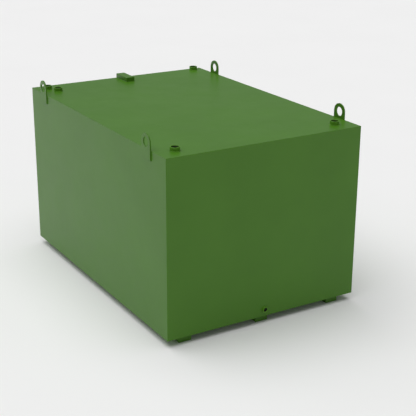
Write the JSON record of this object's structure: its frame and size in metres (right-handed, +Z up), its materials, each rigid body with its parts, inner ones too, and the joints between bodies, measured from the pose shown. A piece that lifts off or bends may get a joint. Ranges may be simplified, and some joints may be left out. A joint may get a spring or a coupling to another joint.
{
  "type": "bunded oil tank",
  "caption": "Rectangular steel oil tank: an inner tank inside a welded bund on skids, with lifting lugs, roof sockets, a vent hood and a bund drain.",
  "frame": {"origin": "on the floor under the middle of the bund body, on the underside of the middle skid", "axes": "+Z up, +Y along the tank from the front wall with the drain socket to the rear wall, +X to the right seen from the front"},
  "size_m": [1.406, 2.012, 1.2855],
  "materials": {
    "bund_paint": "satin green paint on steel plate",
    "socket_paint": "satin green paint on turned steel",
    "skid_paint": "satin green paint on box section",
    "bare_steel": "mill finish"
  },
  "bodies": {
    "root": {"bund_floor": "bund_paint", "bund_front_wall": "bund_paint", "bund_rear_wall": "bund_paint", "bund_left_wall": "bund_paint", "bund_right_wall": "bund_paint", "roof_plate": "bund_paint", "front_left_lug": "bund_paint", "front_right_lug": "bund_paint", "rear_left_lug": "bund_paint", "rear_right_lug": "bund_paint", "fill_socket": "socket_paint", "gauge_socket": "socket_paint", "draw_off_socket": "socket_paint", "return_socket": "socket_paint", "bund_dip_socket": "socket_paint", "vent_hood": "bund_paint", "left_skid": "skid_paint", "middle_skid": "skid_paint", "right_skid": "skid_paint", "left_skid_front_cap": "skid_paint", "left_skid_rear_cap": "skid_paint", "middle_skid_front_cap": "skid_paint", "middle_skid_rear_cap": "skid_paint", "right_skid_front_cap": "skid_paint", "right_skid_rear_cap": "skid_paint", "drain_socket": "socket_paint", "inner_floor": "bare_steel", "inner_front_wall": "bare_steel", "inner_rear_wall": "bare_steel", "inner_left_wall": "bare_steel", "inner_right_wall": "bare_steel", "inner_roof": "bare_steel", "baffle_plate": "bare_steel", "front_bearer": "bare_steel", "middle_bearer": "bare_steel", "rear_bearer": "bare_steel"}
  },
  "joints": []
}
